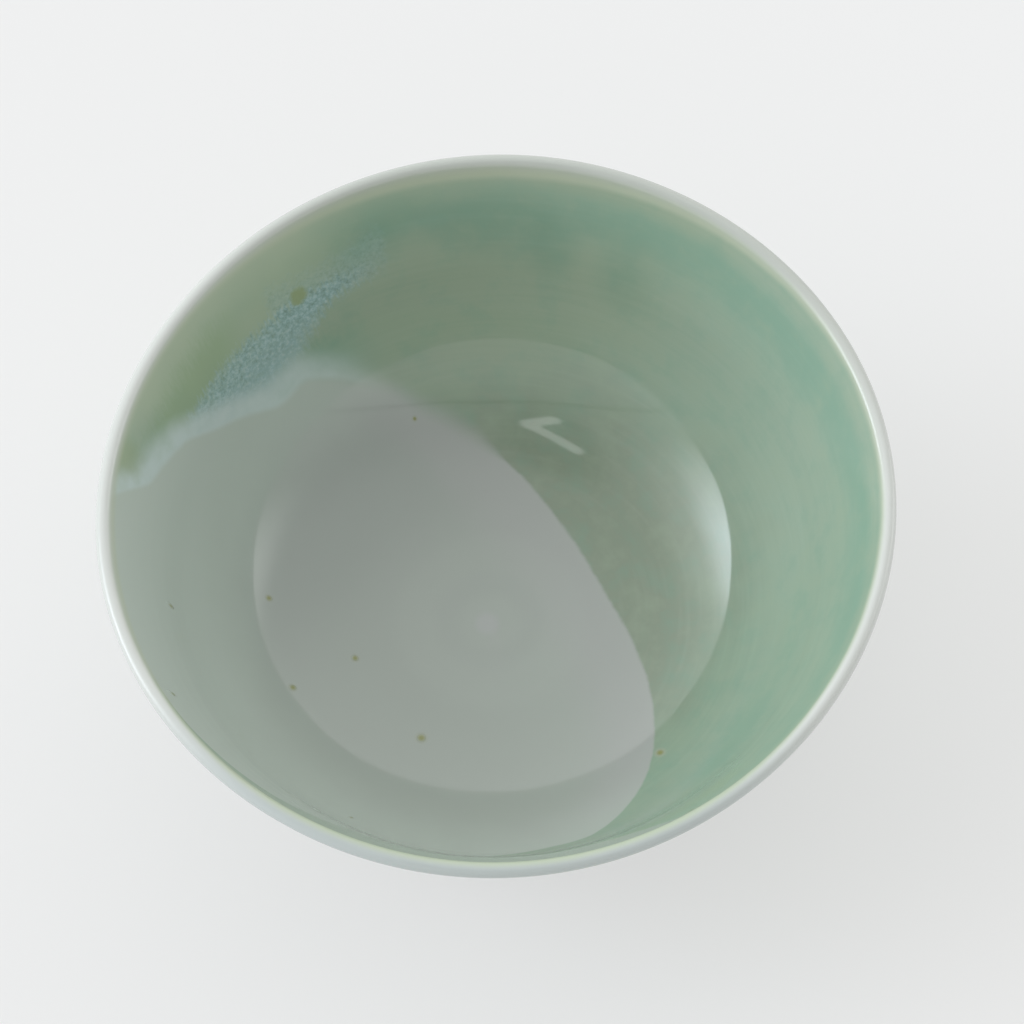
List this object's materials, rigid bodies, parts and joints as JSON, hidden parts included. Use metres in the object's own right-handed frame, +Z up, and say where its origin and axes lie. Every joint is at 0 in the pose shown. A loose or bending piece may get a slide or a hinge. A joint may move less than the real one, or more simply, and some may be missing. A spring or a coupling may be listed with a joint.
{
  "type": "rice bowl",
  "caption": "Thrown porcelain rice bowl with flared wall, rounded lip and turned foot ring, pale glaze with a tilted green celadon dip.",
  "frame": {"origin": "centre of the foot ring's contact plane, on the bowl's axis", "axes": "+Z up along the axis, towards the mouth; the green glaze's dip plane falls towards 29.5 degrees from +X, turning to +Y"},
  "size_m": [0.12, 0.12, 0.052],
  "materials": {
    "bare_porcelain": "unglazed, fine matt",
    "pale_glaze": "smooth high gloss",
    "pale_glaze_foot": "smooth high gloss",
    "celadon": "smooth high gloss",
    "opalescent_blue": "milky, glossy",
    "iron_oxide": "melted iron spots, glossy"
  },
  "bodies": {
    "root": {"porcelain_body": "bare_porcelain", "base_glaze": "pale_glaze", "foot_well_glaze": "pale_glaze_foot", "celadon_overglaze": "celadon", "opalescent_run": "opalescent_blue", "iron_specks": "iron_oxide"}
  },
  "joints": []
}
